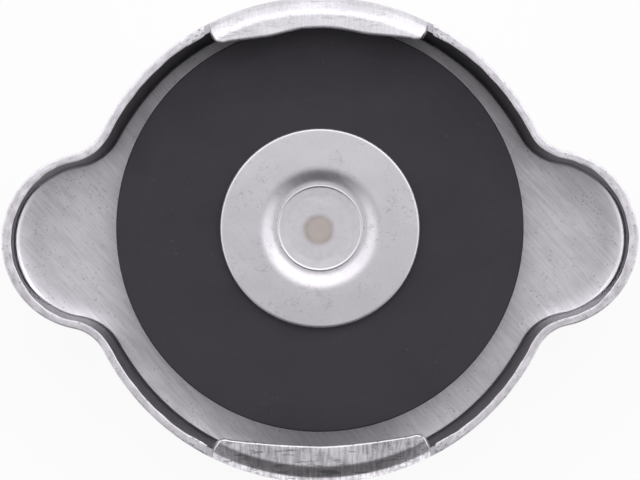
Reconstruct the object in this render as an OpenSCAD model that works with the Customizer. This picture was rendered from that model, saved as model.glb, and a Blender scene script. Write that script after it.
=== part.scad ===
// Bayonet radiator cap with a sprung, floating rubber seal, lying on its outer face with the seal up.
// Sizes are in millimetres. Z runs from the outer face towards the filler neck, the ears point along X
// and the two bayonet tabs along Y.

/* [Shell] */
// Diameter of the round body, over the skirt
body_d = 46; // [45:0.5:52]
// How far each ear stands out past the round body
ear_reach = 7.1; // [6:0.1:9]
// Radius of each ear's round end
ear_r = 8.4; // [7.4:0.1:9.4]
// Radius of the hollow curve between ear and body
ear_blend_r = 4; // [3:0.5:6]
// Thickness of the sheet
sheet_t = 0.8; // [0.6:0.05:1]
// Height of the skirt, from the outer face of the band to the cut edge
skirt_h = 10; // [9.5:0.1:13]
// Outside radius of the bend between band and skirt
skirt_bend_r = 1.6; // [1.3:0.1:2.2]
// Diameter of the flat crown the cap lies on
crown_d = 31; // [30.5:0.5:35]
// Height of the crown above the band
crown_rise = 1; // [0.7:0.1:1.4]
// Depth of the dimple in the middle of the crown
dimple_depth = 2; // [1.8:0.1:2.4]

/* [Bayonet tabs] */
// Width of each tab
tab_w = 20.6; // [16:0.1:23]
// How far each tab reaches in from the outside of the skirt, at its middle
tab_reach = 3.25; // [2.8:0.05:3.8]
// Height of the tab's face above the skirt's cut edge
tab_rise = 1.2; // [0.8:0.1:1.6]
// Outside radius of the bend between skirt and tab
tab_bend_r = 2; // [1.7:0.1:2.4]
// Radius of each tab's corners
tab_corner_r = 1.6; // [1:0.1:1.8]
// Radius of the tab's hollow inner edge
tab_edge_r = 38; // [34:1:60]
// Width of the slit that frees each end of a tab
tab_slit_w = 0.5; // [0.3:0.1:0.8]

/* [Rubber seal] */
// Gap between the skirt and the seal's edge when the seal is in the middle
seal_side_gap = 2.85; // [2.4:0.05:3.5]
// Thickness of the seal
seal_t = 2.4; // [2:0.1:2.8]
// Radius of the seal's front edge
seal_edge_r = 0.4; // [0.2:0.1:0.6]

/* [Plates] */
// How far the seal reaches past the backing plate
seal_overhang = 1.1; // [0.8:0.05:2]
// Thickness of the backing plate
backing_t = 0.8; // [0.6:0.05:1]
// Diameter of the centre plate in front of the seal
plate_d = 19; // [17:0.1:21]
// Thickness of the centre plate
plate_t = 0.8; // [0.6:0.05:1]
// Diameter of the centre plate's dish at its upper edge
dish_mouth_d = 11.2; // [10.8:0.1:12]
// Diameter of the dish's floor
dish_floor_d = 8.8; // [8.5:0.1:9.4]
// Depth of the dish
dish_depth = 0.9; // [0.7:0.05:1.1]

/* [Centre pin] */
// Diameter of the pin's shank
pin_d = 3.8; // [3.2:0.1:4.2]
// Diameter of the pin's button head
button_d = 8.2; // [7:0.1:8.4]
// Height of the button head
button_h = 0.75; // [0.5:0.05:0.9]
// Bevel around the button head
button_bevel = 0.25; // [0.1:0.05:0.4]
// Diameter of the pin's peened outer end
peen_d = 5.6; // [4.8:0.1:6]
// Height of the peened end
peen_h = 0.7; // [0.5:0.1:0.9]
// Thickness of the washer under the peened end
washer_t = 0.5; // [0.4:0.05:0.7]

/* [Spring] */
// Wire of the cone spring
spring_wire_d = 1; // [0.8:0.05:1.1]
// Turns of the cone spring
spring_turns = 2.25; // [1.75:0.25:2.25]
// Thickness of the slip washer the spring stands on
slip_t = 0.5; // [0.4:0.05:0.7]

/* [Motion and fits] */
// How far the seal can be pressed towards the crown
seal_travel = 1.6; // [1:0.1:2]
// How far the pin can move sideways in the crown's hole, from the middle
float_gap = 1.2; // [1.18:0.01:1.3]
// How far off the axis the seal lies at rest, along Y
seal_offset = 1.13; // [0:0.01:1.15]
// Radial clearance of loose parts
loose_gap = 0.3; // [0.2:0.05:0.4]
// Clearance between fixed parts and at the spring's ends
seat_gap = 0.05; // [0.03:0.01:0.1]

/* [Hidden] */
$fn = 64;

// Heights of the shell, counted from the crown's outer face
body_r = body_d / 2;
crown_r = crown_d / 2;
ear_offset = body_r + ear_reach - ear_r;
tab_gap = body_d - 2 * tab_reach;
band_z = crown_rise;
rim_z = band_z + skirt_h;
tab_z = rim_z + tab_rise;
tab_bend_z = tab_z - tab_bend_r;
dimple_in_z = dimple_depth + sheet_t;

// Middle of the hollow curve between ear and body. It is drawn in and lifted by a hair, so that its faces
// cross those of the body and the ear instead of lying in them.
blend_bite = 0.02;
blend_lift = 0.02;
blend_to_axis = body_r + ear_blend_r - blend_bite;
blend_to_ear = ear_r + ear_blend_r - blend_bite;
blend_x = (pow(blend_to_axis, 2) - pow(blend_to_ear, 2) + pow(ear_offset, 2)) / (2 * ear_offset);
blend_y = sqrt(pow(blend_to_axis, 2) - pow(blend_x, 2));
blend_start = atan2(-blend_y, -blend_x);
blend_end = atan2(-blend_y, ear_offset - blend_x);
blend_reach = ear_blend_r + skirt_bend_r + 3.5;

// Heights of what floats inside, from the crown up
slip_top_z = sheet_t + slip_t;
backing_z = dimple_in_z + seal_travel + 4 * seat_gap;
backing_top_z = backing_z + backing_t;
seal_face_z = backing_top_z + seal_t;
plate_top_z = seal_face_z + plate_t;
dish_floor_z = plate_top_z - dish_depth;
boss_top_z = dish_floor_z - plate_t;
washer_z = dimple_depth - washer_t;

// Radii that follow from the fits
seal_r = body_r - sheet_t - seal_side_gap;
backing_r = seal_r - seal_overhang;
pin_r = pin_d / 2;
pin_hole_r = pin_r + seat_gap;
crown_hole_r = pin_r + float_gap;
washer_r = crown_hole_r + float_gap + loose_gap / 2;
dimple_r = washer_r + float_gap + loose_gap / 2;
dimple_slope = 0.6;
dimple_mouth_r = dimple_r + dimple_depth * dimple_slope;
step_lean = sheet_t / 3;
slip_inner_r = dimple_mouth_r + sheet_t / 2 + float_gap + loose_gap;
slip_outer_r = crown_r - step_lean - float_gap - loose_gap;
spring_wide_r = (slip_inner_r + slip_outer_r) / 2;
spring_narrow_r = dimple_mouth_r + float_gap + spring_wire_d / 2;
boss_r = dish_floor_d / 2 - loose_gap;
boss_foot_r = boss_r + loose_gap + (boss_top_z - backing_top_z) * 0.4;
seal_hole_r = dish_mouth_d / 2 + plate_t * 0.4 + loose_gap;

// Half section of a round block with its lower outer edge rounded, from the axis out to r
module rounded_section(r, z0, z1, bend) {
    translate([0, z0]) square([r - bend, z1 - z0]);
    translate([r - bend, z0 + bend]) square([bend, z1 - z0 - bend]);
    translate([r - bend, z0 + bend]) intersection() {
        circle(bend);
        translate([0, -2 * bend]) square(2 * bend);
    }
}

// The same section for the hollow curve, where the metal lies outside the radius r
module hollow_section(r, reach, z0, z1, bend) {
    translate([r + bend, z0]) square([reach - r - bend, z1 - z0]);
    translate([r, z0 + bend]) square([bend, z1 - z0 - bend]);
    translate([r + bend, z0 + bend]) intersection() {
        circle(bend);
        translate([-2 * bend, -2 * bend]) square(2 * bend);
    }
}

// Solid with the outline of body and ears, drawn in by inset on every side. Its tops differ and are cut later.
module cap_block(inset, z0, z1, bend) {
    rotate_extrude() rounded_section(body_r - inset, z0, z1, bend);
    for (side = [0, 1]) mirror([side, 0, 0]) {
        translate([ear_offset, 0, 0]) rotate_extrude() rounded_section(ear_r - inset, z0, z1 + 0.3, bend);
        for (half = [0, 1]) mirror([0, half, 0])
            translate([blend_x, blend_y, 0])
                rotate([0, 0, blend_start])
                    rotate_extrude(angle = blend_end - blend_start)
                        hollow_section(ear_blend_r + inset, blend_reach, z0 + blend_lift, z1 + 0.6, bend);
    }
}

// Crown that the cap lies on, with its step down to the band and its dimple for the pin's end
module crown() {
    step_w = crown_rise * 1.2;
    lap_r = crown_r + step_w + 1;
    rotate_extrude() polygon([
        [crown_hole_r, dimple_depth],
        [dimple_r, dimple_depth],
        [dimple_mouth_r, 0],
        [crown_r, 0],
        [crown_r + step_w, band_z],
        [lap_r, band_z],
        [lap_r, band_z + sheet_t],
        [crown_r + step_w - step_lean, band_z + sheet_t],
        [crown_r - step_lean, sheet_t],
        [dimple_mouth_r + sheet_t / 2, sheet_t],
        [dimple_r + sheet_t / 2, dimple_in_z],
        [crown_hole_r, dimple_in_z]
    ]);
}

// Section of a folded tab: a piece of the skirt, the bend and the flat
module tab_section() {
    bend_x = body_r - tab_bend_r;
    translate([body_r - sheet_t, tab_bend_z - 1]) square([sheet_t, 1]);
    translate([bend_x, tab_bend_z]) intersection() {
        difference() {
            circle(tab_bend_r);
            circle(tab_bend_r - sheet_t);
        }
        square(2 * tab_bend_r);
    }
    translate([bend_x - tab_reach, tab_z - sheet_t]) square([tab_reach, sheet_t]);
}

// Outline of a tab seen along the axis, with its round corners and hollow inner edge
module tab_outline() {
    corner_x = tab_w / 2 - tab_corner_r;
    edge_y = tab_gap / 2 - tab_edge_r;
    corner_y = edge_y + sqrt(pow(tab_edge_r, 2) - pow(corner_x, 2)) + tab_corner_r;
    difference() {
        union() {
            translate([-corner_x, 0]) square([2 * corner_x, body_d]);
            translate([-tab_w / 2, corner_y]) square([tab_w, body_d]);
            for (x = [-corner_x, corner_x]) translate([x, corner_y]) circle(tab_corner_r);
        }
        translate([0, edge_y]) circle(tab_edge_r);
    }
}

module cap_shell() {
    slit_span = tab_w + 2 * tab_slit_w;
    color("silver") {
        difference() {
            cap_block(0, band_z, rim_z + 1, skirt_bend_r);
            cap_block(sheet_t, band_z + sheet_t, rim_z + 2, skirt_bend_r - sheet_t);
            translate([0, 0, rim_z]) cylinder(r = ear_offset + ear_r + 1, h = 4);
            translate([0, 0, band_z - 1]) cylinder(r = crown_r + crown_rise * 1.2, h = sheet_t + 2);
            for (side = [0, 1]) mirror([0, side, 0])
                translate([-slit_span / 2, tab_gap / 2 - 4, tab_bend_z])
                    cube([slit_span, body_r, skirt_h]);
        }
        crown();
        for (side = [0, 1]) mirror([0, side, 0]) intersection() {
            rotate_extrude() tab_section();
            translate([0, 0, tab_bend_z - 2]) linear_extrude(tab_bend_r + 3) tab_outline();
        }
    }
}

// Everything that floats lies this far off the axis
module floating() {
    translate([0, seal_offset, 0]) children();
}

module slip_washer() {
    color("gainsboro") floating() translate([0, 0, sheet_t]) difference() {
        cylinder(r = slip_outer_r, h = slip_t);
        translate([0, 0, -1]) cylinder(r = slip_inner_r, h = slip_t + 2);
    }
}

// Share of the spring's height that is climbed after the given share of its turns: both end turns lie flat
function climb(share) =
    let (s = min(max((share - 0.2) / 0.6, 0), 1))
    s * s * (3 - 2 * s);

// Round wire wound as a cone between z = 0 and z = height
module cone_coil(wide_r, narrow_r, wire, turns, height, steps, sides) {
    rings = turns * steps;
    points = [
        for (i = [0 : rings], j = [0 : sides - 1])
            let (
                a = 360 * i / steps,
                b = 360 * j / sides,
                reach = wide_r + (narrow_r - wide_r) * i / rings + wire / 2 * cos(b),
                z = wire / 2 + (height - wire) * climb(i / rings) + wire / 2 * sin(b)
            )
            [reach * cos(a), reach * sin(a), z]
    ];
    first = [[for (j = [0 : sides - 1]) j]];
    last = [[for (j = [sides - 1 : -1 : 0]) rings * sides + j]];
    lower = [
        for (i = [0 : rings - 1], j = [0 : sides - 1])
            [i * sides + j, (i + 1) * sides + j, (i + 1) * sides + (j + 1) % sides]
    ];
    upper = [
        for (i = [0 : rings - 1], j = [0 : sides - 1])
            [i * sides + j, (i + 1) * sides + (j + 1) % sides, i * sides + (j + 1) % sides]
    ];
    polyhedron(points, concat(first, last, lower, upper));
}

module cone_spring() {
    spring_h = backing_z - slip_top_z - 2 * seat_gap;
    color("darkgray") floating() translate([0, 0, slip_top_z + seat_gap])
        cone_coil(spring_wide_r, spring_narrow_r, spring_wire_d, spring_turns, spring_h, 40, 10);
}

module backing_plate() {
    color("silver") floating() rotate_extrude() polygon([
        [pin_hole_r, boss_top_z - backing_t],
        [boss_r - backing_t * 0.6, boss_top_z - backing_t],
        [boss_foot_r - backing_t * 0.6, backing_z],
        [backing_r, backing_z],
        [backing_r, backing_top_z],
        [boss_foot_r, backing_top_z],
        [boss_r, boss_top_z],
        [pin_hole_r, boss_top_z]
    ]);
}

module rubber_seal() {
    color("dimgray") floating() rotate_extrude() {
        polygon([
            [seal_hole_r, backing_top_z],
            [seal_r - seal_edge_r, backing_top_z],
            [seal_r, backing_top_z + seal_edge_r],
            [seal_r, seal_face_z - seal_edge_r],
            [seal_r - seal_edge_r, seal_face_z - seal_edge_r],
            [seal_r - seal_edge_r, seal_face_z],
            [seal_hole_r, seal_face_z]
        ]);
        translate([seal_r - seal_edge_r, seal_face_z - seal_edge_r]) intersection() {
            circle(seal_edge_r);
            square(2 * seal_edge_r);
        }
    }
}

module centre_plate() {
    mouth_r = dish_mouth_d / 2;
    floor_r = dish_floor_d / 2;
    color("whitesmoke") floating() rotate_extrude() polygon([
        [pin_hole_r, boss_top_z],
        [floor_r + plate_t * 0.4, boss_top_z],
        [mouth_r + plate_t * 0.4, seal_face_z],
        [plate_d / 2, seal_face_z],
        [plate_d / 2, plate_top_z],
        [mouth_r, plate_top_z],
        [floor_r, dish_floor_z],
        [pin_hole_r, dish_floor_z]
    ]);
}

module centre_pin() {
    color("lightgray") floating() rotate_extrude() polygon([
        [0, washer_z - peen_h],
        [peen_d / 2 - 0.4, washer_z - peen_h],
        [peen_d / 2, washer_z],
        [pin_r, washer_z],
        [pin_r, dish_floor_z],
        [button_d / 2, dish_floor_z],
        [button_d / 2, dish_floor_z + button_h - button_bevel],
        [button_d / 2 - button_bevel, dish_floor_z + button_h],
        [0, dish_floor_z + button_h]
    ]);
}

module pin_washer() {
    color("gainsboro") floating() translate([0, 0, washer_z]) difference() {
        cylinder(r = washer_r, h = washer_t);
        translate([0, 0, -1]) cylinder(r = pin_hole_r, h = washer_t + 2);
    }
}

cap_shell();
slip_washer();
cone_spring();
backing_plate();
rubber_seal();
centre_plate();
centre_pin();
pin_washer();
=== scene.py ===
"""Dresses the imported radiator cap: a detailed shell, seal, plates, pin and spring with their finishes,
lit softly from above and behind and seen straight along the axis. Shapes are worked out in millimetres."""
import math

import bmesh
import bpy
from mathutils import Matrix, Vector


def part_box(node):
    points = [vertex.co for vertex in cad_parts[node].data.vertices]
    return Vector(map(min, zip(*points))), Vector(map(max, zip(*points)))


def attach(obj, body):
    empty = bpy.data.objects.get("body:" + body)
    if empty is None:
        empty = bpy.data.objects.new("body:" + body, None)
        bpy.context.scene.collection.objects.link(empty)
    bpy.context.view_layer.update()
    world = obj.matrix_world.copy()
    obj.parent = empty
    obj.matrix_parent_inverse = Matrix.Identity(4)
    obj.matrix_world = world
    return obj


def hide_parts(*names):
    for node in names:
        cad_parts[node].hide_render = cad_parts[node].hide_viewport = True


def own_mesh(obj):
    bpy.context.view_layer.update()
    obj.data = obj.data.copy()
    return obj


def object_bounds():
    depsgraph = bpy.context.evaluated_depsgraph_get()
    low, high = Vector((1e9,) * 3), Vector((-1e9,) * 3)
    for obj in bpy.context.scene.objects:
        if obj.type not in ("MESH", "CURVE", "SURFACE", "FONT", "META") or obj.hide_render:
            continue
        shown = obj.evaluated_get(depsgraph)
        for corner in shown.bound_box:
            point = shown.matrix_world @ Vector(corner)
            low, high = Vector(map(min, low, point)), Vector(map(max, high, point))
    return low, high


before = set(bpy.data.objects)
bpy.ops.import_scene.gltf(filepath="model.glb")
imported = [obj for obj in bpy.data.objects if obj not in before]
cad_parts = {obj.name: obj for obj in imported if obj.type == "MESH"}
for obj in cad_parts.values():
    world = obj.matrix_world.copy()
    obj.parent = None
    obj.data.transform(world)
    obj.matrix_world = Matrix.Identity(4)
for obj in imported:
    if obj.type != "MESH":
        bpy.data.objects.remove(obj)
cad_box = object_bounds()

MM = 0.001

# Shell, as the CAD has it
BODY_R = 23.0
EAR_R = 8.4
EAR_OFFSET = 21.7
BLEND_R = 4.0
SHEET_T = 0.8
SKIRT_BEND_R = 1.6
CROWN_R = 15.5
CROWN_RISE = 1.0
CROWN_STEP_W = 1.2
DIMPLE_R = 5.8
DIMPLE_MOUTH_R = 7.0
DIMPLE_DEPTH = 2.0
CROWN_HOLE_R = 3.1
RIM_Z = 11.0

# The drawn wall is a little thinner than the sheet, and thicker at the ears' tips where metal gathers. Its
# inside leans in towards a tight bend at its foot, less so along the ears. At their tips it leans out
# instead, and the bend is wider and polished.
WALL_T = 0.75
FOOT_T = 1.3
INNER_BEND_R = 0.3
EAR_START_X = 18.5
EAR_FULL_X = 24.5
EAR_FOOT_T = 1.0
TIP_START_X = 26.0
TIP_FULL_X = 29.0
TIP_T = 0.9
TIP_FOOT_T = 0.5
TIP_BEND_R = 1.05

# Sheared edge of the wall: how far it stays below the rim's height, how far it waves in height and in
# thickness, how much thicker it is where it is torn beside a slit, and over which length it is torn
EDGE_DROP = 0.04
EDGE_WAVE_Z = 0.02
EDGE_WAVE_T = 0.03
TORN_T = 0.16
TORN_LENGTH = 3.5

# Folded tabs
TAB_HALF_W = 10.3
TAB_CORNER_W = 1.7
TAB_SLIT_W = 0.5
TAB_BEND_R = 2.0
TAB_Z = 12.2
TAB_BEND_Z = TAB_Z - TAB_BEND_R
TAB_EDGE_W = 0.15
TAB_END_LENGTH = 0.35

# A tab's fold, from upright to its flat end: how far each arc turns it, in degrees, and the arc's radius.
# The wide arc in the middle is the sloping face that the folding tool leaves beside the crease.
TAB_FOLD = ((50.0, 1.44), (60.0, 4.6), (86.0, 0.45))

# Cone spring
SPRING_WIDE_R = 11.32
SPRING_NARROW_R = 8.7
SPRING_WIRE_R = 0.5
SPRING_TURNS = 2.25
SPRING_TURN_STEPS = 72
SPRING_SIDES = 16
SPRING_END_SHARE = 0.82

# Camera: on the axis, at the distance and with the lens that give the photograph's scale
CAMERA_Z = 611.0
LENS_MM = 357.4
SENSOR_MM = 36.0
CAMERA_ROLL_DEG = -0.37

# Brightness of the surroundings overhead, and what is added towards the sides, the back and the front
ZENITH = 0.63
SIDE_LIFT = 0.75
BACK_LIFT = 0.5
FRONT_LIFT = -0.5

# In metres: the floor's radius, how far it lies below the cap, and the point in the cap the lamp aims at
FLOOR_R = 4.0
FLOOR_GAP = 0.0002
LAMP_AIM = Vector((0, 0, 0.006))


def extent(node):
    """Lowest and highest corner of a CAD node in millimetres."""
    low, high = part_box(node)
    return low / MM, high / MM


def half_width(low, high):
    return (high.x - low.x) / 2


SEAL_LOW, SEAL_HIGH = extent("rubber_seal")
SEAL_Y = (SEAL_LOW.y + SEAL_HIGH.y) / 2
SEAL_AXIS = Vector((0, SEAL_Y))


# Shapes

# Steps in a rounded corner, and how far before and after it a point lies
ARC_STEPS = 6
ARC_LEAD = 0.015

# Steps round a turned piece, and the angle from which an edge is shaded sharp
TURNED_STEPS = 160
SHARP_DEG = 40.0

# Vertices closer than the first are made one, and an edge shorter than the second is left out of a face
WELD_MM = 1e-5
SHORT_MM = 1e-7


def mix(a, b, share):
    return a + (b - a) * share


def smooth_step(value, low, high):
    s = min(max((value - low) / (high - low), 0.0), 1.0)
    return s * s * (3 - 2 * s)


def rounded(corners, closed=True):
    """Line through corners (r, z, radius) whose corners are arcs of that radius. A point just before and
    after each arc keeps the shading of the flats beside it level."""
    line = []
    last = len(corners) - 1
    for i, (r, z, radius) in enumerate(corners):
        here = Vector((r, z))
        if radius == 0 or (not closed and i in (0, last)):
            line.append(here)
            continue
        before = (Vector(corners[i - 1][:2]) - here).normalized()
        after = (Vector(corners[(i + 1) % len(corners)][:2]) - here).normalized()
        half = before.angle(after) / 2
        middle = here + (before + after).normalized() * (radius / math.sin(half))
        reach = radius / math.tan(half)
        start = here + before * reach - middle
        end = here + after * reach - middle
        sweep = math.pi - 2 * half
        line.append(here + before * (reach + ARC_LEAD))
        for k in range(ARC_STEPS + 1):
            share = k / ARC_STEPS
            arm = start * math.sin((1 - share) * sweep) + end * math.sin(share * sweep)
            line.append(middle + arm / math.sin(sweep))
        line.append(here + after * (reach + ARC_LEAD))
    return line


def make_piece(name, bm, body, node, materials):
    """Turns a mesh drawn in millimetres into a piece that stands for a CAD node and rides on its body."""
    bmesh.ops.remove_doubles(bm, verts=bm.verts, dist=WELD_MM)
    bmesh.ops.recalc_face_normals(bm, faces=bm.faces)
    bmesh.ops.scale(bm, vec=(MM, MM, MM), verts=bm.verts)
    mesh = bpy.data.meshes.new(name)
    bm.to_mesh(mesh)
    bm.free()
    mesh.shade_smooth()
    mesh.set_sharp_from_angle(angle=math.radians(SHARP_DEG))
    for material in materials:
        mesh.materials.append(material)
    piece = bpy.data.objects.new(name, mesh)
    bpy.context.scene.collection.objects.link(piece)
    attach(piece, body)
    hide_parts(node)
    return piece


def make_turned(name, corners, body, node, material):
    """Makes a piece that is round about the seal's axis. Corners (r, z, radius) give its section."""
    line = rounded(corners)
    bm = bmesh.new()
    rings = []
    for i in range(TURNED_STEPS):
        a = 2 * math.pi * i / TURNED_STEPS
        ring = []
        for p in line:
            x = SEAL_AXIS.x + p.x * math.cos(a)
            y = SEAL_AXIS.y + p.x * math.sin(a)
            ring.append(bm.verts.new((x, y, p.y)))
        rings.append(ring)
    for i in range(TURNED_STEPS):
        join(bm, rings[i], rings[(i + 1) % TURNED_STEPS], loop=True)
    make_piece(name, bm, body, node, [material])


def join(bm, one, two, loop=False, material=0):
    """Faces between two rows of vertices of the same length."""
    count = len(one)
    for k in range(count if loop else count - 1):
        n = (k + 1) % count
        corners = [one[k], two[k], two[n], one[n]]
        kept = [v for j, v in enumerate(corners) if (v.co - corners[j - 1].co).length > SHORT_MM]
        if len(kept) > 2:
            bm.faces.new(kept).material_index = material


# The shell's walls stand in columns around its outline

class Column:
    """A place on the outline with its direction inwards. A column of the round body also has a share of
    skew: a skewed one runs inwards along Y instead of towards the axis, as the tabs do."""

    def __init__(self, place, inwards, skew=None):
        self.place = place
        self.inwards = inwards
        self.skew = skew
        self.tip = smooth_step(abs(place.x), TIP_START_X, TIP_FULL_X)
        ear = smooth_step(abs(place.x), EAR_START_X, EAR_FULL_X)
        self.thick = mix(WALL_T, TIP_T, self.tip)
        self.foot_t = mix(mix(FOOT_T, EAR_FOOT_T, ear), TIP_FOOT_T, self.tip)
        self.inner_bend = mix(INNER_BEND_R, TIP_BEND_R, self.tip)

    def inset(self, depth):
        """The place that lies depth further in."""
        if self.skew is None:
            return self.place + self.inwards * depth
        r = BODY_R - depth
        radial = math.atan2(self.place.y, self.place.x)
        straight = math.copysign(math.acos(min(max(self.place.x / r, -1.0), 1.0)), self.place.y)
        a = mix(radial, straight, self.skew)
        return Vector((r * math.cos(a), r * math.sin(a)))

    def half_turned(self):
        return Column(-self.place, -self.inwards, self.skew)


def arc_columns(centre, radius, start, end, count, hollow=False):
    """Columns along an arc between two angles in degrees, without its last point."""
    columns = []
    for i in range(count):
        a = math.radians(mix(start, end, i / count))
        out = Vector((math.cos(a), math.sin(a)))
        columns.append(Column(centre + out * radius, out if hollow else -out))
    return columns


def body_column(x, side, skew):
    place = Vector((x, side * math.sqrt(BODY_R ** 2 - x ** 2)))
    return Column(place, -place.normalized(), skew)


def tab_columns_x():
    """Places of a tab's columns, closer together along its round corners."""
    corner_x = TAB_HALF_W - TAB_CORNER_W
    corner_steps = 12
    middle_steps = 48
    corner = []
    for k in range(corner_steps, 0, -1):
        corner.append(corner_x + TAB_CORNER_W * math.sin(math.pi / 2 * k / corner_steps))
    middle = [corner_x * (1 - 2 * k / middle_steps) for k in range(middle_steps + 1)]
    return corner + middle + [-x for x in reversed(corner)]


SIDE_STEPS = 26
BLEND_STEPS = 14
EAR_STEPS = 56


def half_outline():
    """Columns from the right slit of the upper tab round the left ear to the lower tab, and where each
    stretch starts."""
    to_axis = BODY_R + BLEND_R
    to_ear = EAR_R + BLEND_R
    blend_x = (to_axis ** 2 - to_ear ** 2 + EAR_OFFSET ** 2) / (2 * EAR_OFFSET)
    blend_y = math.sqrt(to_axis ** 2 - blend_x ** 2)
    body_angle = math.degrees(math.atan2(blend_y, blend_x))
    ear_angle = math.degrees(math.atan2(blend_y, blend_x - EAR_OFFSET))
    slit_x = TAB_HALF_W + TAB_SLIT_W
    end_x = -BODY_R * math.cos(math.radians(body_angle))
    columns = [body_column(slit_x, 1, 1.0), body_column(slit_x - TAB_SLIT_W / 2, 1, 1.0)]
    starts = {"slit_a": 0, "tab": len(columns)}
    tab_xs = tab_columns_x()
    columns += [body_column(x, 1, 1.0) for x in tab_xs[:-1]]
    starts["slit_b"] = len(columns)
    columns += [body_column(-TAB_HALF_W, 1, 1.0), body_column(-TAB_HALF_W - TAB_SLIT_W / 2, 1, 1.0)]
    starts["wall"] = len(columns)
    side = []
    for k in range(SIDE_STEPS):
        share = k / SIDE_STEPS
        side.append((mix(-slit_x, end_x, share), 1 - smooth_step(share, 0, 1)))
    columns += [body_column(x, 1, skew) for x, skew in side]
    ear = Vector((-EAR_OFFSET, 0))
    upper = Vector((-blend_x, blend_y))
    lower = Vector((-blend_x, -blend_y))
    columns += arc_columns(upper, BLEND_R, -body_angle, -ear_angle, BLEND_STEPS, hollow=True)
    columns += arc_columns(ear, EAR_R, 180 - ear_angle, 180 + ear_angle, EAR_STEPS)
    columns += arc_columns(lower, BLEND_R, ear_angle, body_angle, BLEND_STEPS, hollow=True)
    columns.append(body_column(end_x, -1, 0.0))
    columns += [body_column(x, -1, skew) for x, skew in reversed(side[1:])]
    return columns, starts


def crown_line():
    """Section of the crown from the band's outer face through the hole to the band's inner face."""
    lean = SHEET_T / 3
    step_r = CROWN_R + CROWN_STEP_W
    band_r = step_r + 1
    band_z = CROWN_RISE
    return rounded([
        (band_r, band_z, 0),
        (step_r, band_z, 1.0),
        (CROWN_R, 0, 1.0),
        (DIMPLE_MOUTH_R, 0, 0.8),
        (DIMPLE_R, DIMPLE_DEPTH, 0.5),
        (CROWN_HOLE_R, DIMPLE_DEPTH, 0.08),
        (CROWN_HOLE_R, DIMPLE_DEPTH + SHEET_T, 0.08),
        (DIMPLE_R + SHEET_T / 2, DIMPLE_DEPTH + SHEET_T, 0.5),
        (DIMPLE_MOUTH_R + SHEET_T / 2, SHEET_T, 0.5),
        (CROWN_R - lean, SHEET_T, 0.8),
        (step_r - lean, band_z + SHEET_T, 0.8),
        (band_r, band_z + SHEET_T, 0),
    ], closed=False)


WALL_STEPS = 5
BEND_STEPS = 9
RISE_STEPS = 4
FLOOR_STEPS = 5

# Inside, the floor rises gently over this width to this slope before it bends up into the skirt
RISE_W = 1.4
RISE_DEG = 11.0


def column_line(column, crown):
    """Points of one column from the skirt's outside, where the slits end, round the crown to its inside."""
    wall_zs = [mix(TAB_BEND_Z, CROWN_RISE + SKIRT_BEND_R, k / WALL_STEPS) for k in range(WALL_STEPS + 1)]
    outside = [(0, z) for z in wall_zs]
    for k in range(1, BEND_STEPS + 1):
        a = math.pi / 2 * k / BEND_STEPS
        outside.append((SKIRT_BEND_R * (1 - math.cos(a)), CROWN_RISE + SKIRT_BEND_R * (1 - math.sin(a))))
    floor_z = CROWN_RISE + SHEET_T
    slope = math.radians(RISE_DEG)
    rise = math.tan(slope) * RISE_W / 2
    bend_z = floor_z + rise + column.inner_bend * math.cos(slope)
    rise_end = column.foot_t + column.inner_bend * (1 - math.sin(slope))
    inside = []
    for k in range(RISE_STEPS):
        share = k / RISE_STEPS
        inside.append((rise_end + RISE_W * (1 - share), floor_z + rise * share ** 2))
    for k in range(BEND_STEPS, -1, -1):
        a = (math.pi / 2 - slope) * k / BEND_STEPS
        depth = column.foot_t + column.inner_bend * (1 - math.cos(a))
        inside.append((depth, bend_z - column.inner_bend * math.sin(a)))
    for k in range(WALL_STEPS - 1, -1, -1):
        inside.append((mix(column.thick, column.foot_t, k / WALL_STEPS), wall_zs[k]))
    line = []
    for depth, z in outside:
        line.append(column.inset(depth).to_3d() + Vector((0, 0, z)))
    edge = column.inset(SKIRT_BEND_R)
    inner_edge = column.inset(inside[0][0])
    heading = edge.normalized()
    for k in range(1, FLOOR_STEPS):
        spot = mix(edge, heading * crown[0].x, k / FLOOR_STEPS)
        line.append(Vector((spot.x, spot.y, CROWN_RISE)))
    for p in crown:
        line.append(Vector((heading.x * p.x, heading.y * p.x, p.y)))
    for k in range(FLOOR_STEPS - 1, 0, -1):
        spot = mix(inner_edge, heading * crown[-1].x, k / FLOOR_STEPS)
        line.append(Vector((spot.x, spot.y, floor_z)))
    for depth, z in inside:
        line.append(column.inset(depth).to_3d() + Vector((0, 0, z)))
    return line


def wall_rungs(column, along, torn):
    """Pairs of outer and inner points of the skirt above the slits, up to its sheared edge, each with its
    depth in the sheet. The edge is thicker and more uneven where it is torn beside a slit."""
    wave = math.sin(along * 2.3) * math.sin(along * 0.71 + 1) + 0.6 * torn * math.sin(along * 6.1)
    top = RIM_Z - EDGE_DROP + EDGE_WAVE_Z * wave
    wall = column.thick + EDGE_WAVE_T * wave + TORN_T * torn
    # Depth and height of the outer point, then of the inner one
    steps = [
        (0.0, top - 0.45, column.thick, top - 0.45),
        (0.0, top - 0.14, wall, top - 0.12),
        (0.02, top - 0.06, wall - 0.008, top - 0.02),
        (0.07, top - 0.015, wall - 0.03, top),
        (0.16, top, wall - 0.08, top + 0.012),
        (0.30, top + 0.004, wall - 0.28, top + 0.01),
    ]
    rungs = []
    for outer, outer_z, inner, inner_z in steps:
        a = column.inset(outer)
        b = column.inset(inner)
        rungs.append(((Vector((a.x, a.y, outer_z)), outer), (Vector((b.x, b.y, inner_z)), inner)))
    return rungs


# Inner edge of each tab: distance from the axis at its middle, at its left and at its right corner, and the
# share of the difference that lies in a narrow arch in the middle
TAB_EDGES = {1: (20.0, 18.72, 18.95, 0.4), -1: (19.42, 18.8, 18.48, 0.0)}


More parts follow.
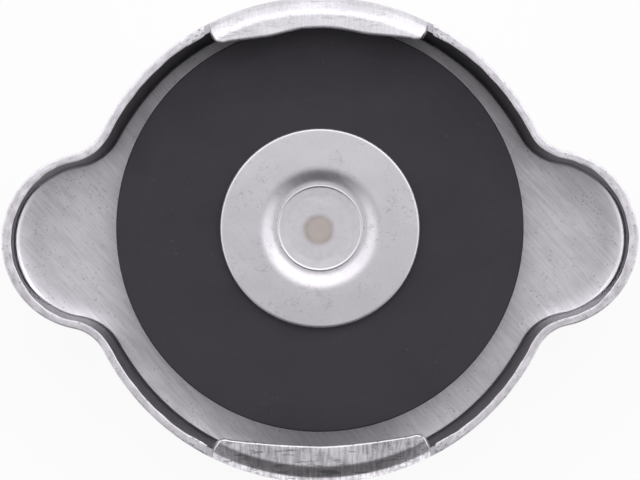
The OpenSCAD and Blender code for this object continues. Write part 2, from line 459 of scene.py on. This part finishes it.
def tab_edge_y(x, side):
    middle, left, right, arch = TAB_EDGES[side]
    share = min(abs(x) / (TAB_HALF_W - TAB_CORNER_W), 1.0)
    plain = 1 - share ** 1.6
    narrow = 1 - smooth_step(share, 0.1, 0.62)
    return mix(left if x < 0 else right, middle, mix(plain, narrow, arch))


def fold_place(way):
    """How far inwards and up a tab's middle layer has come after a way along it, its turn there, and how
    much of the way lies behind the fold."""
    turn = 0.0
    inwards = 0.0
    up = 0.0
    for end_deg, radius in TAB_FOLD:
        end = min(turn + way / radius, math.radians(end_deg))
        inwards += radius * (math.cos(turn) - math.cos(end))
        up += radius * (math.sin(end) - math.sin(turn))
        way -= radius * (end - turn)
        turn = end
    return inwards, up, turn, max(way, 0.0)


def tab_rungs(column, side):
    """Pairs of outer and inner points of a tab with their depths in the sheet, from the top of the skirt
    through the fold to its cut edge."""
    x = column.place.x
    corner_x = TAB_HALF_W - TAB_CORNER_W
    edge_x = max(min(x, corner_x), -corner_x)
    half_t = column.thick / 2
    long_way = 2 * BODY_R
    inwards, _, fold, flat = fold_place(long_way)
    fold_r = BODY_R - half_t - inwards + half_t * math.cos(fold)
    to_edge = (math.sqrt(fold_r ** 2 - edge_x ** 2) - tab_edge_y(edge_x, side)) / math.sin(fold)
    length = long_way - flat + to_edge
    if abs(x) > corner_x:
        across = min((abs(x) - corner_x) / TAB_CORNER_W, 1.0)
        length = mix(TAB_END_LENGTH, length, math.sqrt(max(1 - across ** 2, 0.0)))
    steps = 36
    edge = min(TAB_EDGE_W, length / 2)
    reach = [(length - edge) * k / steps for k in range(1, steps + 1)]
    # Ways along the tab near its edge, and how much is rounded off both faces there
    trims = [(length - edge * 0.5, 0.04), (length - edge * 0.15, 0.12), (length, 0.28)]
    rungs = []
    for way, trim in [(d, 0.0) for d in reach] + trims:
        inwards, up, turn, flat = fold_place(way)
        pair = []
        for depth in (trim, column.thick - trim):
            off = half_t - depth
            r = BODY_R - half_t - inwards + off * math.cos(turn)
            y = math.sqrt(max(r ** 2 - x ** 2, 0.0)) - flat * math.sin(turn)
            z = TAB_BEND_Z + up + off * math.sin(turn) + flat * math.cos(turn)
            pair.append((Vector((x, side * y, z)), depth))
        rungs.append(tuple(pair))
    return rungs


# Material numbers on the shell, and how many of a strip's topmost pairs of points are its cut edge
SHEET, CUT_EDGE, TAB_FACE, SCORED_TAB, BEND, SHADED_INSIDE = range(6)
WALL_EDGE_RUNGS = 4
TAB_EDGE_RUNGS = 3


def raise_strip(bm, feet, rungs, along, torn, edge_rungs, face_materials):
    """Closed strip of sheet on top of the wall: feet are its (outer, inner) base vertices for each column
    and rungs the pairs of points above them. The last edge_rungs pairs and both ends are cut edges, the
    rest has the outer and the inner one of face_materials. Each new vertex keeps how far along the outline
    and how deep in the sheet it lies, and how torn the edge is there."""
    lay = bm.verts.layers.float_vector["lay"]
    ladders = []
    for foot, column_rungs, way, tear in zip(feet, rungs, along, torn):
        ladder = [foot]
        for rung in column_rungs:
            pair = []
            for point, depth in rung:
                vertex = bm.verts.new(point)
                vertex[lay] = (way, depth, tear)
                pair.append(vertex)
            ladder.append(tuple(pair))
        ladders.append(ladder)
    count = len(ladders[0])
    for one, two in zip(ladders, ladders[1:]):
        for k in range(count - 1):
            for face in (0, 1):
                material = CUT_EDGE if k >= count - 1 - edge_rungs else face_materials[face]
                left = [one[k][face], one[k + 1][face]]
                right = [two[k][face], two[k + 1][face]]
                join(bm, left, right, material=material)
        join(bm, list(one[-1]), list(two[-1]), material=CUT_EDGE)
    for ladder in (ladders[0], ladders[-1]):
        for k in range(count - 1):
            join(bm, list(ladder[k]), list(ladder[k + 1]), material=CUT_EDGE)


def shell_mesh():
    """The shell: its columns joined round the outline, and on top of them the tabs, walls and slits. Below
    these, each vertex keeps how much its column belongs to an ear's polished tip."""
    half, starts = half_outline()
    columns = half + [c.half_turned() for c in half]
    crown = crown_line()
    bm = bmesh.new()
    lay = bm.verts.layers.float_vector.new("lay")
    lines = []
    for column in columns:
        lines.append([bm.verts.new(p) for p in column_line(column, crown)])
        for vertex in lines[-1]:
            vertex[lay] = (0, 0, column.tip)
    count = len(columns)
    bend_end = len(lines[0]) - 1 - WALL_STEPS
    bend_start = bend_end - BEND_STEPS
    for i in range(count):
        one, two = lines[i], lines[(i + 1) % count]
        join(bm, one[:bend_start + 1], two[:bend_start + 1])
        join(bm, one[bend_start:bend_end + 1], two[bend_start:bend_end + 1], material=BEND)
        # The inside wall above the bend takes the darker steel, which is painted shade
        join(bm, one[bend_end:], two[bend_end:], material=SHADED_INSIDE)
    along = [0.0]
    for i in range(count):
        along.append(along[-1] + (columns[(i + 1) % count].place - columns[i].place).length)
    for side, first in ((1, 0), (-1, len(half))):
        bounds = [first + starts[k] for k in ("slit_a", "tab", "slit_b", "wall")] + [first + len(half)]
        for kind, begin, end in zip(("slit", "tab", "slit", "wall"), bounds, bounds[1:]):
            span = [columns[i % count] for i in range(begin, end + 1)]
            feet = [(lines[i % count][0], lines[i % count][-1]) for i in range(begin, end + 1)]
            ways = along[begin:end + 1]
            torn = [1 - smooth_step(min(way - ways[0], ways[-1] - way), 0.0, TORN_LENGTH) for way in ways]
            if kind == "slit":
                raise_strip(bm, feet, [[] for column in span], ways, torn, 0, (SHEET, SHADED_INSIDE))
            elif kind == "tab":
                rungs = [tab_rungs(column, side) for column in span]
                face = TAB_FACE if side > 0 else SCORED_TAB
                raise_strip(bm, feet, rungs, ways, torn, TAB_EDGE_RUNGS, (face, SHADED_INSIDE))
            else:
                rungs = [wall_rungs(*parts) for parts in zip(span, ways, torn)]
                raise_strip(bm, feet, rungs, ways, torn, WALL_EDGE_RUNGS, (SHEET, SHADED_INSIDE))
    return bm


def spring_mesh(low, high):
    """Wire wound as a cone from its wide end at low to its narrow end at high, with both end turns flat and
    both ends of the wire a little thinner."""
    bm = bmesh.new()
    steps = int(SPRING_TURNS * SPRING_TURN_STEPS)
    rings = []
    for i in range(steps + 1):
        share = i / steps
        a = 2 * math.pi * SPRING_TURNS * share
        z = mix(low + SPRING_WIRE_R, high - SPRING_WIRE_R, smooth_step(share, 0.2, 0.8))
        taper = min(share, 1 - share) * steps
        wire = SPRING_WIRE_R * mix(SPRING_END_SHARE, 1.0, min(taper / 2, 1.0))
        ring = []
        for j in range(SPRING_SIDES):
            b = 2 * math.pi * j / SPRING_SIDES
            reach = mix(SPRING_WIDE_R, SPRING_NARROW_R, share) + wire * math.cos(b)
            place = (reach * math.cos(a), SEAL_Y + reach * math.sin(a), z + wire * math.sin(b))
            ring.append(bm.verts.new(place))
        rings.append(ring)
    for one, two in zip(rings, rings[1:]):
        join(bm, one, two, loop=True)
    bm.faces.new(rings[0])
    bm.faces.new(list(reversed(rings[-1])))
    return bm


# Finishes

# Most of a noise lies between these
NOISE_LOW = 0.3
NOISE_HIGH = 0.7

STEEL_TINT = (1.0, 0.962, 1.03)
RUBBER_BLACK = (0.028, 0.0243, 0.0318, 1)
RUBBER_BLOOM = (0.0356, 0.0313, 0.04, 1)
TAN = (0.57, 0.505, 0.48, 1)
# Darker border of the tan spot: painted shade of its shallow dimple
TAN_SHADE = (0.45, 0.405, 0.39, 1)

# Faint paler ring on the seal, a painted highlight, and how far the tan spot on the pin's head lies off its
# axis
HIGHLIGHT_RING_R = 16.8
HIGHLIGHT_RING_HALF_W = 0.3
# The offset also moves the spot's darker border, which is painted shade
SPOT_OFFSET = Vector((-0.12, -0.16))


class Nodes:
    """Adds nodes to an emptied node tree."""

    def __init__(self, tree):
        self.tree = tree
        self.tree.nodes.clear()

    def set(self, node, inputs):
        for key, value in inputs.items():
            if isinstance(value, bpy.types.NodeSocket):
                self.tree.links.new(value, node.inputs[key])
            else:
                node.inputs[key].default_value = value

    def node(self, kind, inputs=None, **settings):
        node = self.tree.nodes.new("ShaderNode" + kind)
        for key, value in settings.items():
            setattr(node, key, value)
        self.set(node, inputs or {})
        return node

    def math(self, operation, a, b=0.0):
        return self.node("Math", {0: a, 1: b}, operation=operation).outputs[0]

    def ramp(self, value, low, high, out_low=0.0, out_high=1.0):
        """Value moved from the range low to high into out_low to out_high, softly at both ends."""
        inputs = {"Value": value, "From Min": low, "From Max": high, "To Min": out_low, "To Max": out_high}
        return self.node("MapRange", inputs, interpolation_type="SMOOTHSTEP").outputs[0]


class Finish(Nodes):
    """A material whose patterns are given in millimetres."""

    def __init__(self, name):
        self.material = bpy.data.materials.new(name)
        self.material.use_nodes = True
        super().__init__(self.material.node_tree)
        self.shader = self.node("BsdfPrincipled")
        self.output = self.node("OutputMaterial", {"Surface": self.shader.outputs["BSDF"]})
        self.place = self.node("TexCoord").outputs["Object"]

    def grain(self, size, detail=3.0, turn_deg=0.0, seed=0.0):
        """Noise whose spots measure size = (x, y, z). The first of these lies turn_deg from X."""
        inputs = {"Vector": self.place, "Rotation": (0, 0, math.radians(-turn_deg))}
        turned = self.node("Mapping", inputs).outputs[0]
        return self.noise(turned, [s * MM for s in size], detail, seed)

    def noise(self, vector, size, detail, seed=0.0):
        inputs = {"Vector": vector, "Location": (seed, seed, seed), "Scale": [1 / s for s in size]}
        scaled = self.node("Mapping", inputs).outputs[0]
        settings = {"Vector": scaled, "Scale": 1.0, "Detail": detail, "Roughness": 0.6}
        return self.node("TexNoise", settings).outputs[0]

    def spread(self, noise, out_low, out_high):
        """Noise moved from its usual range to out_low and out_high."""
        return self.ramp(noise, NOISE_LOW, NOISE_HIGH, out_low, out_high)

    def lay(self):
        """The vector that the shell's vertices keep, and its third value."""
        vector = self.node("Attribute", attribute_name="lay").outputs["Vector"]
        return vector, self.node("SeparateXYZ", {0: vector}).outputs["Z"]

    def radius(self, centre):
        """Distance from the vertical through centre, in millimetres."""
        back = (-centre.x * MM, -centre.y * MM, 0)
        offset = self.node("VectorMath", {0: self.place, 1: back}, operation="ADD")
        flat = self.node("VectorMath", {0: offset.outputs[0], 1: (1, 1, 0)}, operation="MULTIPLY")
        length = self.node("VectorMath", {0: flat.outputs[0]}, operation="LENGTH")
        return self.math("MULTIPLY", length.outputs["Value"], 1 / MM)

    def blend(self, share, a, b):
        inputs = {"Factor": share, "A": a, "B": b}
        node = self.node("Mix", data_type="RGBA")
        for key, value in inputs.items():
            socket = next(s for s in node.inputs if s.name == key and s.enabled)
            if isinstance(value, bpy.types.NodeSocket):
                self.tree.links.new(value, socket)
            else:
                socket.default_value = value
        return next(s for s in node.outputs if s.enabled)

    def bump(self, height, depth_mm, strength):
        inputs = {"Height": height, "Distance": depth_mm * MM, "Strength": strength}
        return self.node("Bump", inputs).outputs[0]


def grey(value, tint=(1.0, 1.0, 1.0)):
    return [value * t for t in tint] + [1.0]


def steel(name, dark, light, rough, specks, brush_deg=-48.0, brush_mm=(1.6, 0.2), lines=1.0, marks=0.0,
          smears=0.0, polished=None):
    """Rolled sheet: short fine scratches in one direction, soft blotches, small dark specks, curled marks
    and the dark smears a folding tool leaves. Polished, if given, is the roughness at the ears' tips."""
    f = Finish(name)
    brush = f.grain((brush_mm[0], brush_mm[1], 1.5), detail=4.0, turn_deg=brush_deg)
    blotch = f.grain((5.0, 3.5, 4.0), detail=4.0)
    crowd = f.ramp(f.grain((3.0, 3.0, 3.0), detail=2.0, seed=5.5), 0.42, 0.6)
    fleck = f.grain((0.28, 0.2, 0.25), detail=1.0, turn_deg=brush_deg, seed=3.1)
    fleck = f.math("ADD", fleck, f.math("MULTIPLY", crowd, 0.05))
    speck = f.math("MULTIPLY", f.ramp(fleck, 0.69, 0.76), specks)
    swirl = f.grain((0.7, 0.5, 0.6), detail=2.0, turn_deg=20.0, seed=1.7)
    contour = f.math("ABSOLUTE", f.math("SUBTRACT", swirl, 0.5))
    curled = f.ramp(f.grain((0.8, 0.8, 0.8), detail=1.0), 0.5, 0.6)
    curl = f.math("MULTIPLY", f.ramp(contour, 0.0, 0.035, 1.0, 0.0), curled)
    mark = f.math("MULTIPLY", f.math("MULTIPLY", curl, crowd), marks)
    smear = f.ramp(f.grain((2.4, 0.4, 0.8), detail=3.0, seed=7.3), 0.54, 0.66)
    worn = f.math("MAXIMUM", f.math("MAXIMUM", speck, mark), f.math("MULTIPLY", smear, smears))
    level = rough
    if polished is not None:
        level = f.ramp(f.lay()[1], 0.0, 1.0, rough, polished)
    tone = f.math("ADD", f.spread(brush, 0.0, 0.5 * lines), f.spread(blotch, 0.0, 0.5))
    colour = f.blend(tone, grey(dark, STEEL_TINT), grey(light, STEEL_TINT))
    f.set(f.shader, {
        "Base Color": f.blend(worn, colour, grey(dark * 0.3, STEEL_TINT)),
        "Metallic": 1.0,
        "Roughness": f.math("ADD", f.spread(brush, 0.04, -0.04), level),
        "Normal": f.bump(brush, 0.008 * lines, 0.4),
    })
    return f.material


def cut_edge_finish():
    """Sheared edge: bright uneven metal, lightly scored along the edge and with dark torn spots."""
    f = Finish("cut_edge")
    lay, torn = f.lay()
    score = f.noise(lay, (3.0, 0.16, 1.0), 3.0)
    smear = f.noise(lay, (1.1, 0.6, 1.0), 4.0, seed=4.7)
    pit = f.math("ADD", f.noise(lay, (0.4, 0.22, 1.0), 2.0, seed=9.1), f.math("MULTIPLY", torn, 0.09))
    tone = f.math("ADD", f.spread(score, 0.0, 0.35), f.spread(smear, 0.0, 0.65))
    colour = f.blend(tone, grey(0.6, STEEL_TINT), grey(0.88, STEEL_TINT))
    f.set(f.shader, {
        "Base Color": f.blend(f.ramp(pit, 0.6, 0.74, 0.0, 0.7), colour, grey(0.2, STEEL_TINT)),
        "Metallic": 1.0,
        "Roughness": f.spread(smear, 0.36, 0.46),
        "Normal": f.bump(pit, 0.03, 0.4),
    })
    return f.material


def rubber_finish():
    """Matt moulded rubber with a fine grain, pale bloom and a faint paler ring, which is a painted
    highlight.
    """
    f = Finish("seal_rubber")
    grain = f.grain((0.12, 0.12, 0.12), detail=3.0)
    bloom = f.grain((9.0, 6.0, 6.0), detail=4.0)
    r = f.radius(SEAL_AXIS)
    # Painted highlight: a faint paler ring on the seal
    inside = f.ramp(r, HIGHLIGHT_RING_R - HIGHLIGHT_RING_HALF_W, HIGHLIGHT_RING_R)
    outside = f.ramp(r, HIGHLIGHT_RING_R, HIGHLIGHT_RING_R + HIGHLIGHT_RING_HALF_W, 1.0, 0.0)
    ring = f.math("MULTIPLY", inside, outside)
    tone = f.math("ADD", f.spread(bloom, 0.1, 0.7), f.math("MULTIPLY", ring, 0.25))
    dust = f.ramp(f.grain((0.3, 0.25, 0.3), detail=1.0, seed=2.2), 0.74, 0.8)
    colour = f.blend(tone, RUBBER_BLACK, RUBBER_BLOOM)
    f.set(f.shader, {
        "Base Color": f.blend(f.math("MULTIPLY", dust, 0.25), colour, grey(0.16)),
        "Roughness": f.spread(bloom, 0.62, 0.52),
        "Specular IOR Level": 0.35,
        "Normal": f.bump(grain, 0.01, 0.5),
    })
    return f.material


def pin_finish():
    """Turned steel with fine rings and, on its head, the tan spot of a pressed centre, darker at its
    border, which is painted shade of a shallow dimple."""
    f = Finish("pin_steel")
    r = f.radius(SEAL_AXIS)
    spot_r = f.radius(SEAL_AXIS + SPOT_OFFSET)
    wobble = f.grain((0.4, 0.4, 0.4), detail=2.0)
    patch = f.grain((0.9, 0.7, 0.8), detail=3.0, seed=6.0)
    rings = f.node("TexWave", {
        "Vector": f.node("CombineXYZ", {"X": r}).outputs[0],
        "Scale": 2.2, "Distortion": 1.5, "Detail": 2.0,
    }).outputs[1]
    tone = f.math("ADD", f.math("MULTIPLY", rings, 0.25), f.math("MULTIPLY", wobble, 0.6))
    colour = f.blend(tone, grey(0.68, STEEL_TINT), grey(0.78, STEEL_TINT))
    # Painted shade: the tan spot darkens towards its border, as a shallow dimple would be shaded
    shaded_border = f.math("MULTIPLY", f.ramp(spot_r, 0.8, 1.35), f.spread(patch, 0.4, 1.0))
    stain_and_shade = f.blend(shaded_border, TAN, TAN_SHADE)
    height = f.node("SeparateXYZ", {0: f.place}).outputs["Z"]
    head = f.ramp(height, SEAL_LOW.z * MM, SEAL_HIGH.z * MM)
    spot = f.math("MULTIPLY", f.ramp(spot_r, 1.1, 1.75, 0.95, 0.0), head)
    f.set(f.shader, {
        "Base Color": f.blend(spot, colour, stain_and_shade),
        "Metallic": 1.0,
        "Roughness": f.spread(wobble, 0.32, 0.4),
        "Normal": f.bump(rings, 0.004, 0.4),
    })
    return f.material


# Pieces

shell_steel = steel("shell_steel", dark=0.66, light=0.82, rough=0.4, specks=0.4, brush_mm=(3.0, 0.26),
                    lines=1.1)
bend_steel = steel("bend_steel", dark=0.70, light=0.82, rough=0.4, specks=0.3, lines=0.4, polished=0.22)
tab_steel = steel("tab_steel", dark=0.62, light=0.94, rough=0.24, specks=0.3, brush_deg=90.0,
                  brush_mm=(1.4, 0.25), lines=0.6, marks=0.3, smears=0.25)
scored_steel = steel("scored_steel", dark=0.42, light=1.0, rough=0.2, specks=0.5, brush_deg=90.0,
                     brush_mm=(1.8, 0.3), lines=1.5, marks=0.6, smears=0.55)
# Painted shade: the skirt's inside wall and the undersides of the tabs get the shell's steel painted darker
shaded_inside_steel = steel("shaded_inside_steel", dark=0.28, light=0.43, rough=0.42, specks=0.4, brush_deg=90.0,
                     lines=0.6)
plate_steel = steel("plate_steel", dark=0.67, light=0.77, rough=0.36, specks=0.2, lines=0.3, marks=0.4)
plated_steel = steel("plated_steel", dark=0.42, light=0.60, rough=0.36, specks=0.25, brush_deg=15.0)
spring_wire = steel("spring_wire", dark=0.26, light=0.46, rough=0.34, specks=0.2, brush_deg=0.0,
                    brush_mm=(1.6, 0.3))

# Its materials come in the order of their numbers, SHEET to SHADED_INSIDE
make_piece("shell", shell_mesh(), "cap", "cap_shell",
           [shell_steel, cut_edge_finish(), tab_steel, scored_steel, bend_steel, shaded_inside_steel])

seal_r = half_width(SEAL_LOW, SEAL_HIGH)
seal_hole_r = 6.22
make_turned("seal", [
    (seal_hole_r, SEAL_LOW.z, 0.1),
    (seal_r, SEAL_LOW.z, 0.3),
    (seal_r, SEAL_HIGH.z, 0.14),
    (seal_hole_r, SEAL_HIGH.z, 0.1),
], "seal", "rubber_seal", rubber_finish())

plate_low, plate_high = extent("centre_plate")
plate_r = half_width(plate_low, plate_high)
plate_droop = 0.12
pin_hole_r = 1.95
dish_r = 4.15
dish_under_r = 4.6
dish_depth = 0.46
dish_floor_z = plate_high.z - dish_depth
shoulder_r = 6.0
shoulder_under_r = 5.9

# The slope from the shoulder to the dish's floor is steepest a little nearer to the floor
slope_steps = 24
slope_lean = 0.78
rises = [math.sin(math.pi * (k / slope_steps) ** slope_lean) ** 2 for k in range(slope_steps)]
dish_slope = []
for k in range(slope_steps, -1, -1):
    z = mix(dish_floor_z, plate_high.z, sum(rises[:k]) / sum(rises))
    dish_slope.append((mix(dish_r, shoulder_r, k / slope_steps), z, 0))
make_turned("plate", [
    (pin_hole_r, plate_low.z, 0),
    (dish_under_r, plate_low.z, 0.6),
    (shoulder_under_r, SEAL_HIGH.z, 0.6),
    (plate_r, SEAL_HIGH.z, 0.06),
    (plate_r, plate_high.z - plate_droop, 0.28),
] + dish_slope + [
    (pin_hole_r, dish_floor_z, 0),
], "seal", "centre_plate", plate_steel)

pin_low, pin_high = extent("centre_pin")
pin_r = 1.9
peen_z = extent("pin_washer")[0].z
peen_r = 2.8
peen_end_r = 2.3
button_r = half_width(pin_low, pin_high)
button_h = 0.16
button_z = dish_floor_z + button_h

# A low lip runs round the button's face, which is a little hollow inside it
lip_top_r = button_r - 0.12
lip_foot_r = button_r - 0.26
lip_h = 0.05
hollow_r = button_r - 1.0
hollow_depth = 0.08
middle_depth = 0.09
make_turned("pin", [
    (0, pin_low.z, 0),
    (peen_end_r, pin_low.z, 0.3),
    (peen_r, peen_z, 0.1),
    (pin_r, peen_z, 0),
    (pin_r, dish_floor_z, 0),
    (button_r, dish_floor_z, 0.05),
    (button_r, button_z, 0.1),
    (lip_top_r, button_z, 0.05),
    (lip_foot_r, button_z - lip_h, 0.2),
    (hollow_r, button_z - hollow_depth, 5.0),
    (0, button_z - middle_depth, 0),
], "seal", "centre_pin", pin_finish())

backing_low, backing_high = extent("backing_plate")
backing_r = half_width(backing_low, backing_high)
backing_t = SEAL_LOW.z - backing_low.z
boss_top_r = 4.1
boss_foot_r = 5.0
boss_wall = 0.48
make_turned("backing", [
    (pin_hole_r, backing_high.z - backing_t, 0),
    (boss_top_r - boss_wall, backing_high.z - backing_t, 0.2),
    (boss_foot_r - boss_wall, backing_low.z, 0.3),
    (backing_r, backing_low.z, 0.2),
    (backing_r, SEAL_LOW.z, 0.1),
    (boss_foot_r, SEAL_LOW.z, 0.3),
    (boss_top_r, backing_high.z, 0.2),
    (pin_hole_r, backing_high.z, 0),
], "seal", "backing_plate", plated_steel)

slip_hole_r = 8.9
flat_rings = (
    ("washer", "pin_washer", "seal", pin_hole_r),
    ("slip_ring", "slip_washer", "slip", slip_hole_r),
)
for name, node, body, hole_r in flat_rings:
    low, high = extent(node)
    ring_r = half_width(low, high)
    make_turned(name, [
        (hole_r, low.z, 0.05),
        (ring_r, low.z, 0.05),
        (ring_r, high.z, 0.14),
        (hole_r, high.z, 0.1),
    ], body, node, plated_steel)

spring_low, spring_high = extent("cone_spring")
coil = spring_mesh(spring_low.z, spring_high.z)
spring = make_piece("spring", coil, "spring", "cone_spring", [spring_wire])
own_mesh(spring)


# Stage, light and camera

def floor_finish():
    """White floor. Seen directly or mirrored it is mostly its own white, so only a faint shadow shows."""
    f = Finish("floor")
    path = f.node("LightPath")
    seen = f.math("MAXIMUM", path.outputs["Is Camera Ray"], path.outputs["Is Glossy Ray"])
    seen = f.math("MAXIMUM", seen, path.outputs["Is Transmission Ray"])
    f.set(f.shader, {"Base Color": grey(0.86), "Roughness": 0.9, "Specular IOR Level": 0.1})
    white = f.node("Emission", {"Color": grey(1.0), "Strength": 1.0})
    share = f.math("MULTIPLY", seen, 0.9)
    cover = f.node("MixShader", {0: share, 1: f.shader.outputs[0], 2: white.outputs[0]})
    f.set(f.output, {"Surface": cover.outputs[0]})
    return f.material


def lamp(name, place, size, power):
    """Soft rectangular light that shines on the cap. Place and size are in metres."""
    light = bpy.data.lights.new(name, "AREA")
    light.shape = "RECTANGLE"
    light.size, light.size_y = size
    light.energy = power
    holder = bpy.data.objects.new(name, light)
    holder.location = place
    holder.rotation_euler = (LAMP_AIM - Vector(place)).to_track_quat("-Z", "Y").to_euler()
    bpy.context.scene.collection.objects.link(holder)


def studio_world():
    """Soft surroundings: half bright overhead, brighter low down on both sides and behind, dim in front."""
    world = bpy.data.worlds.new("studio")
    world.use_nodes = True
    w = Nodes(world.node_tree)
    way = w.node("SeparateXYZ", {0: w.node("TexCoord").outputs["Generated"]})
    sides = w.ramp(w.math("ABSOLUTE", way.outputs["X"]), 0.2, 0.95, 0.0, SIDE_LIFT)
    back = w.ramp(way.outputs["Y"], 0.2, 0.9, 0.0, BACK_LIFT)
    front = w.ramp(way.outputs["Y"], -0.6, -0.1, FRONT_LIFT, 0.0)
    level = w.math("ADD", w.math("ADD", sides, back), w.math("ADD", front, ZENITH))
    light = w.node("Background", {"Color": grey(1.0), "Strength": level})
    w.node("OutputWorld", {"Surface": light.outputs[0]})
    bpy.context.scene.world = world


floor_mesh = bmesh.new()
bmesh.ops.create_circle(floor_mesh, cap_ends=True, segments=96, radius=FLOOR_R)
floor_data = bpy.data.meshes.new("floor")
floor_mesh.to_mesh(floor_data)
floor_mesh.free()
floor_data.materials.append(floor_finish())
floor = bpy.data.objects.new("floor", floor_data)
floor.location.z = cad_box[0].z - FLOOR_GAP
bpy.context.scene.collection.objects.link(floor)

studio_world()
lamp("back_softbox", place=(0.08, 0.42, 0.56), size=(1.0, 0.7), power=1.4)

camera = bpy.data.objects.new("camera", bpy.data.cameras.new("camera"))
camera.data.lens = LENS_MM
camera.data.sensor_width = SENSOR_MM
camera.data.clip_start = 0.01
camera.location = (0, 0, CAMERA_Z * MM)
camera.rotation_euler = (0, 0, math.radians(CAMERA_ROLL_DEG))
bpy.context.scene.collection.objects.link(camera)
bpy.context.scene.camera = camera
bpy.context.scene.view_settings.view_transform = "Standard"
